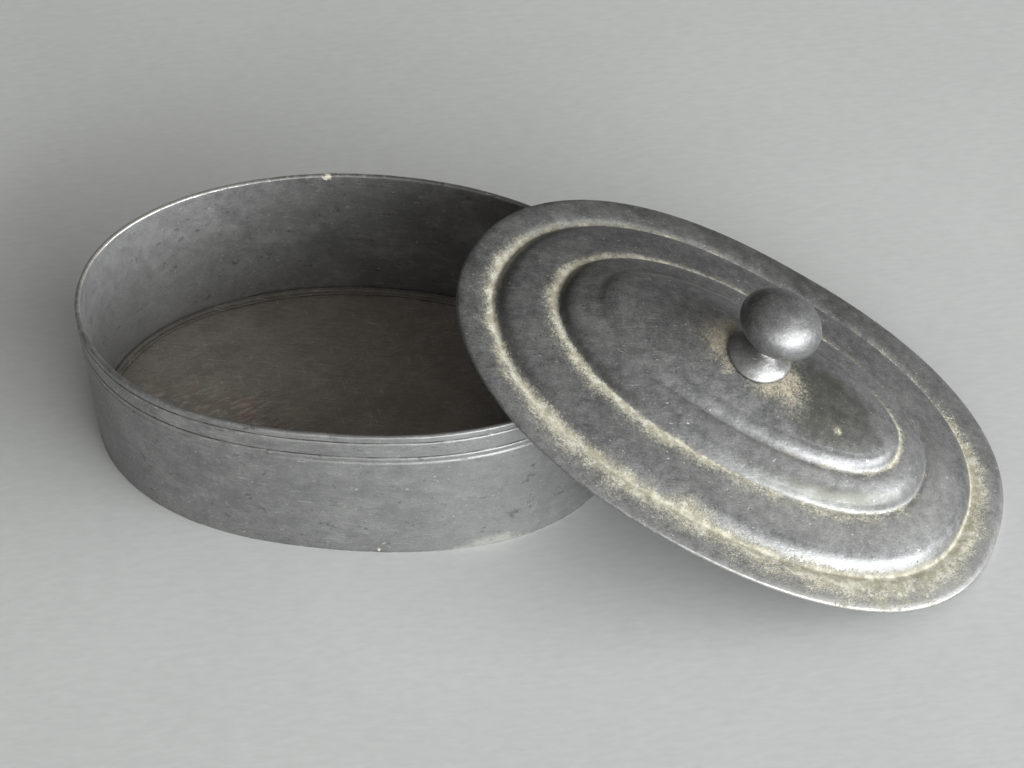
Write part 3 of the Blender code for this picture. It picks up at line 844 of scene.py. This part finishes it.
def build_foot(place, lean):
    """Low domed foot that follows the crown of the lid, thin at its edge."""
    shape = np.array([(7.5, 0.12), (7.45, 0.35), (7.05, 0.8), (6.3, 1.3), (5.3, 1.78),
                      (4.4, 2.2), (3.6, 2.65), (3.1, 3.05), (2.9, 3.3)]) * MM
    over = smooth_run(shape, 0.3 * MM)
    under = np.array([(r, 0.0) for r in np.linspace(FOOT_BORE, FOOT_RADIUS - 0.1 * MM, 14)])
    section = np.vstack([under, over, [(FOOT_BORE, FOOT_TOP)]])
    grid = turned_grid(section)
    inverse = lean.inverted()
    for row, (radius, height) in enumerate(section):
        share = 1.0 - ease(height, 0.8 * MM, 2.6 * MM)
        for i in range(grid.shape[1]):
            point = lean @ Vector((grid[row, i, 0], grid[row, i, 1], 0.0))
            point.z = dome_surface(point.x, point.y) + GAP
            ground = (inverse @ point).z
            grid[row, i, 2] = height + share * ground
    grid[..., 2] += drift(grid, 5 * MM, 11) * 0.05 * MM * ease(grid[..., 2], 1.0 * MM, 2.0 * MM)
    out = np.hypot(grid[..., 0], grid[..., 1])
    # Painted shade round the foot's rim against the lid and round the neck under the ball.
    knob_shade = 0.5 * ease(out, 7.1 * MM, 7.45 * MM) + 0.55 * ease(out, 3.9 * MM, 3.1 * MM)
    obj = add_grid("knob_foot_look", grid,
                   knob_finish("foot_pewter_look", (0.17, 0.17, 0.17), (0.36, 0.36, 0.355), 0.42),
                   place @ lean, {"knob_shade": knob_shade})
    settle(obj, "lid", "knob_foot")


def build_ball(place, lean):
    """Flattened ball on a short neck, with its stem and the peened end below."""
    head = WASHER_TOP - WASHER_THICK - GAP
    stem = [(0.5 * PEEN_RADIUS, head - PEEN_DEPTH), (0.75 * PEEN_RADIUS, head - 0.88 * PEEN_DEPTH),
            (0.93 * PEEN_RADIUS, head - 0.55 * PEEN_DEPTH), (PEEN_RADIUS, head - 0.15 * PEEN_DEPTH),
            (0.97 * PEEN_RADIUS, head), (STEM_RADIUS, head), (STEM_RADIUS, FOOT_TOP + GAP),
            (NECK_RADIUS, FOOT_TOP + GAP), (0.94 * NECK_RADIUS, FOOT_TOP + 1.6 * GAP),
            (0.93 * NECK_RADIUS, FOOT_TOP + 2.6 * GAP)]
    start = math.asin(NECK_RADIUS / BALL_RADIUS) * BALL_START
    sweep = np.linspace(start, math.pi - 0.02, 60)
    ball = [(BALL_RADIUS * math.sin(t), BALL_CENTRE - BALL_HALF_HEIGHT * math.cos(t))
            for t in sweep]
    grid = turned_grid(np.array(stem + ball))
    reach = ease(grid[..., 2], 6 * MM, 9 * MM)
    soft = 1.0 + reach * (0.011 * drift(grid, 7 * MM, 12) + 0.003 * drift(grid, 2.5 * MM, 13))
    grid[..., 0] *= soft
    grid[..., 1] *= soft
    # Painted shade over the underside of the ball, the neck and the stem.
    knob_shade = 0.8 * ease(grid[..., 2], 6.6 * MM, 4.4 * MM) * np.ones(grid.shape[:2])
    obj = add_grid("knob_ball_look", grid,
                   knob_finish("knob_pewter_look", (0.13, 0.13, 0.133), (0.29, 0.29, 0.293), 0.46),
                   place @ lean, {"knob_shade": knob_shade}, loop=False, caps=True)
    settle(obj, "lid", "knob_ball")


def build_washer(place, lean):
    low, high, soft = WASHER_TOP - WASHER_THICK, WASHER_TOP, 0.15 * MM
    section = np.array([(FOOT_BORE, low), (WASHER_RADIUS - soft, low), (WASHER_RADIUS, low + soft),
                        (WASHER_RADIUS, high - soft), (WASHER_RADIUS - soft, high),
                        (FOOT_BORE, high)])
    obj = add_grid("knob_washer_look", turned_grid(section),
                   plain_finish("washer_pewter_look", (0.18, 0.18, 0.175), (0.33, 0.33, 0.32)),
                   place @ lean)
    settle(obj, "lid", "knob_washer")


# ---- surroundings --------------------------------------------------------------
def table_finish():
    f = Finish("pale_table")
    cloud = f.noise(60 * MM, 4.0, 0.6)
    fleck = f.noise(1.4 * MM, 3.0, 0.6, f.stretched((0.3, 1.0, 1.0), (0, 0, 14.0)))
    share = f.math("ADD", f.math("MULTIPLY", cloud, 0.4), f.math("MULTIPLY", fleck, 0.6))
    colour = f.mix(f.smooth(share, 0.3, 0.7), (0.565, 0.575, 0.575), (0.62, 0.63, 0.63))
    height = f.math("MULTIPLY", fleck, 0.02)
    return f.done(colour, 0.6, height, 0.0)


def build_table():
    grid = np.zeros((TABLE_STEPS, TABLE_STEPS, 3))
    span = np.linspace(-TABLE_HALF, TABLE_HALF, TABLE_STEPS)
    grid[..., 0], grid[..., 1] = np.meshgrid(span, span)
    verts = grid.reshape(-1, 3).tolist()
    index = np.arange(TABLE_STEPS**2).reshape(TABLE_STEPS, TABLE_STEPS)
    corners = [index[:-1, :-1], index[:-1, 1:], index[1:, 1:], index[1:, :-1]]
    faces = np.stack(corners, -1).reshape(-1, 4).tolist()
    mesh = bpy.data.meshes.new("table_top")
    mesh.from_pydata(verts, [], faces)
    mesh.materials.append(table_finish())
    table = bpy.data.objects.new("table_top", mesh)
    bpy.context.scene.collection.objects.link(table)


def add_window(name, heading, rise, distance, size, power, colour):
    """Large soft light; heading is degrees from +X toward +Y, rise above the table."""
    h, e = math.radians(heading), math.radians(rise)
    spot = Vector((math.cos(h) * math.cos(e), math.sin(h) * math.cos(e), math.sin(e))) * distance
    data = bpy.data.lights.new(name, "AREA")
    data.shape = "RECTANGLE"
    data.size, data.size_y = size
    data.energy = power
    data.color = colour
    light = bpy.data.objects.new(name, data)
    light.location = spot
    light.rotation_euler = spot.to_track_quat("Z", "Y").to_euler()
    bpy.context.scene.collection.objects.link(light)


def build_room():
    """Soft room light: brighter over the window side, dim behind the box."""
    world = bpy.data.worlds.new("room")
    world.use_nodes = True
    nodes, links = world.node_tree.nodes, world.node_tree.links
    back = nodes["Background"]
    back.inputs["Color"].default_value = (1.0, 0.97, 0.91, 1.0)
    toward = nodes.new("ShaderNodeVectorMath")
    toward.operation = "DOT_PRODUCT"
    links.new(nodes.new("ShaderNodeTexCoord").outputs["Generated"], toward.inputs[0])
    toward.inputs[1].default_value = ROOM_BRIGHT_SIDE
    level = nodes.new("ShaderNodeMapRange")
    level.interpolation_type = "SMOOTHSTEP"
    links.new(toward.outputs["Value"], level.inputs["Value"])
    level.inputs["From Min"].default_value = -0.9
    level.inputs["From Max"].default_value = 0.9
    level.inputs["To Min"].default_value = ROOM_DIM
    level.inputs["To Max"].default_value = ROOM_BRIGHT
    links.new(level.outputs[0], back.inputs["Strength"])
    bpy.context.scene.world = world


def build_light():
    build_room()
    add_window("window", *WINDOW, DAYLIGHT)
    add_window("front_fill", *FRONT_FILL, DAYLIGHT)
    bpy.context.scene.view_settings.view_transform = "Standard"


def build_camera():
    az, el, roll = (math.radians(a) for a in (VIEW_AZIMUTH, VIEW_ELEVATION, VIEW_ROLL))
    forward = Vector((-math.sin(az) * math.cos(el), math.cos(az) * math.cos(el), -math.sin(el)))
    right = Vector((math.cos(az), math.sin(az), 0.0))
    up = right.cross(forward)
    side = right * math.cos(roll) + up * math.sin(roll)
    top = up * math.cos(roll) - right * math.sin(roll)
    centre = (Vector(cad_box[0]) + Vector(cad_box[1])) / 2.0
    data = bpy.data.cameras.new("camera")
    data.lens = LENS
    data.sensor_width = SENSOR
    data.clip_start = CLIP_START
    camera = bpy.data.objects.new("camera", data)
    turn = Matrix((side, top, -forward)).transposed().to_4x4()
    eye = centre + AIM_FROM_CENTRE - forward * VIEW_DISTANCE
    camera.matrix_world = Matrix.Translation(eye) @ turn
    bpy.context.scene.collection.objects.link(camera)
    bpy.context.scene.camera = camera


def main():
    build_wall()
    build_floor()
    build_floor_solder()
    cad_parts["wall_seam_solder"].data.materials.clear()
    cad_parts["wall_seam_solder"].data.materials.append(
        solder_finish("seam_solder_look", (0.16, 0.155, 0.145), (0.3, 0.29, 0.28)))
    place = lid_placement()
    lean = knob_frame()
    build_lid(place)
    build_bezel(place)
    build_bezel_solder(place)
    build_foot(place, lean)
    build_ball(place, lean)
    build_washer(place, lean)
    build_table()
    build_light()
    build_camera()


main()
bpy.context.view_layer.update()
